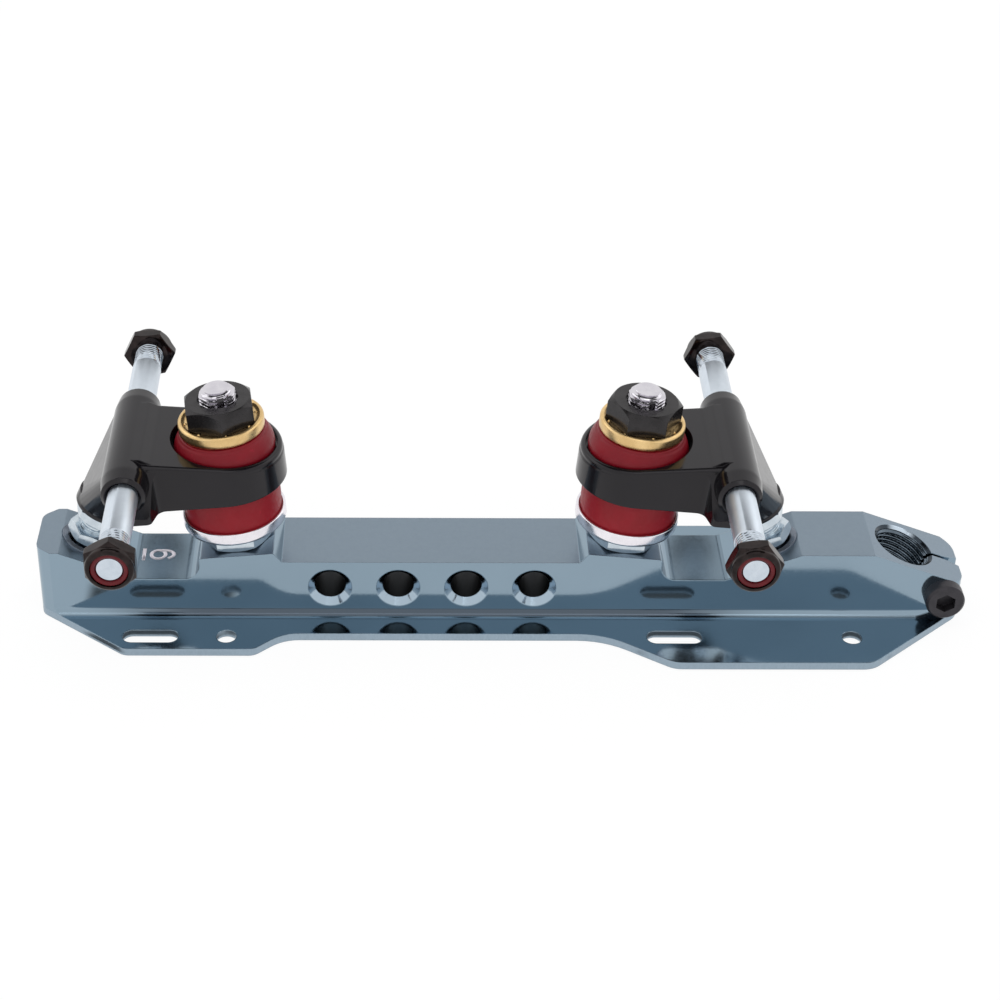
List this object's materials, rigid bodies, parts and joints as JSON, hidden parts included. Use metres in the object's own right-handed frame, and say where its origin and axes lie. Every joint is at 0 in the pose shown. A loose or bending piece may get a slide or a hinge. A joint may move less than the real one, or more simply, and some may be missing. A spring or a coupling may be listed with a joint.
{
  "type": "roller skate plate",
  "caption": "Quad skate plate: a slotted sole flange with a drilled spine, a clamped toe stop bore and a steering truck at each end on cushions, ready for boot and wheels.",
  "frame": {"origin": "on the sole face, on the centreline, midway between the two axles", "axes": "+X toward the toe, +Y toward the side that is away in the picture, +Z out of the sole face toward the trucks and wheels"},
  "size_m": [0.253, 0.1102, 0.0678],
  "materials": {
    "plate": "polished",
    "hanger_black": "gloss",
    "axle_steel": "satin",
    "zinc_steel": "satin",
    "black_nut": "satin",
    "clamp_screw": "satin",
    "kingpin_chrome": "polished",
    "nut_insert": "satin",
    "pivot_cup": "satin",
    "cushion": "satin",
    "bright_retainer": "polished",
    "brass_retainer": "satin"
  },
  "bodies": {
    "plate": {"plate_body": "plate", "toe_clamp_screw": "clamp_screw", "rear_kingpin": "kingpin_chrome", "rear_kingpin_jam_nut": "zinc_steel", "rear_kingpin_nut": "black_nut", "rear_inner_retainer": "bright_retainer", "rear_inner_cushion": "cushion", "rear_outer_cushion": "cushion", "rear_outer_retainer": "brass_retainer", "rear_pivot_cup": "pivot_cup", "front_kingpin": "kingpin_chrome", "front_kingpin_jam_nut": "zinc_steel", "front_kingpin_nut": "black_nut", "front_inner_retainer": "bright_retainer", "front_inner_cushion": "cushion", "front_outer_cushion": "cushion", "front_outer_retainer": "brass_retainer", "front_pivot_cup": "pivot_cup"},
    "rear_truck": {"rear_hanger": "hanger_black", "rear_axle": "axle_steel", "rear_left_axle_nut": "black_nut", "rear_right_axle_nut": "black_nut", "rear_left_nut_insert": "nut_insert", "rear_right_nut_insert": "nut_insert", "rear_pivot_pin": "zinc_steel", "rear_pivot_jam_nut": "zinc_steel"},
    "front_truck": {"front_hanger": "hanger_black", "front_axle": "axle_steel", "front_left_axle_nut": "black_nut", "front_right_axle_nut": "black_nut", "front_left_nut_insert": "nut_insert", "front_right_nut_insert": "nut_insert", "front_pivot_pin": "zinc_steel", "front_pivot_jam_nut": "zinc_steel"}
  },
  "joints": [
    {"name": "rear_steer", "type": "hinge", "parent": "plate", "child": "rear_truck", "pos_m": [-0.09708, 0, 0.01242], "axis": [0.7775, 0, 0.6289], "range_deg": [-10, 10], "stiffness_Nm_per_rad": 15, "deforming": ["rear_inner_cushion", "rear_outer_cushion"]},
    {"name": "front_steer", "type": "hinge", "parent": "plate", "child": "front_truck", "pos_m": [0.09708, 0, 0.01242], "axis": [-0.7775, 0, 0.6289], "range_deg": [-10, 10], "stiffness_Nm_per_rad": 15, "deforming": ["front_inner_cushion", "front_outer_cushion"]}
  ]
}
